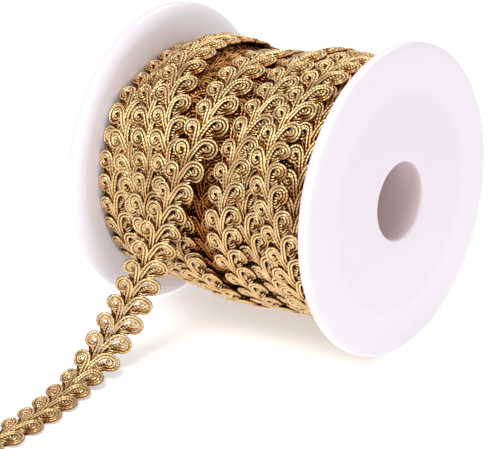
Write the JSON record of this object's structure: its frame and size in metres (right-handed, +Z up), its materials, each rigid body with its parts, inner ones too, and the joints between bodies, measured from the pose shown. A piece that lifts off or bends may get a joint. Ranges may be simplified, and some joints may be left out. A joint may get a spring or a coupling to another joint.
{
  "type": "gimp braid trim on a spool",
  "caption": "Gold gimp braid trim with looped scroll edges, wound on a white flanged spool, with a loose end lying on the surface in front.",
  "frame": {"origin": "on the resting surface, below the middle of the spool", "axes": "+X along the spool's axis towards its right flange, +Y towards the back, +Z up; the loose end runs towards -Y"},
  "size_m": [0.0844, 0.1564, 0.0794],
  "materials": {
    "white_plastic": "soft satin, faintly lavender white",
    "gold_gimp": "metallic gold cord with brown shadows",
    "gold_gimp_loose": "metallic gold cord"
  },
  "bodies": {
    "root": {"spool_half_left": "white_plastic", "spool_half_right": "white_plastic", "wound_trim": "gold_gimp", "loose_end": "gold_gimp_loose"}
  },
  "joints": []
}
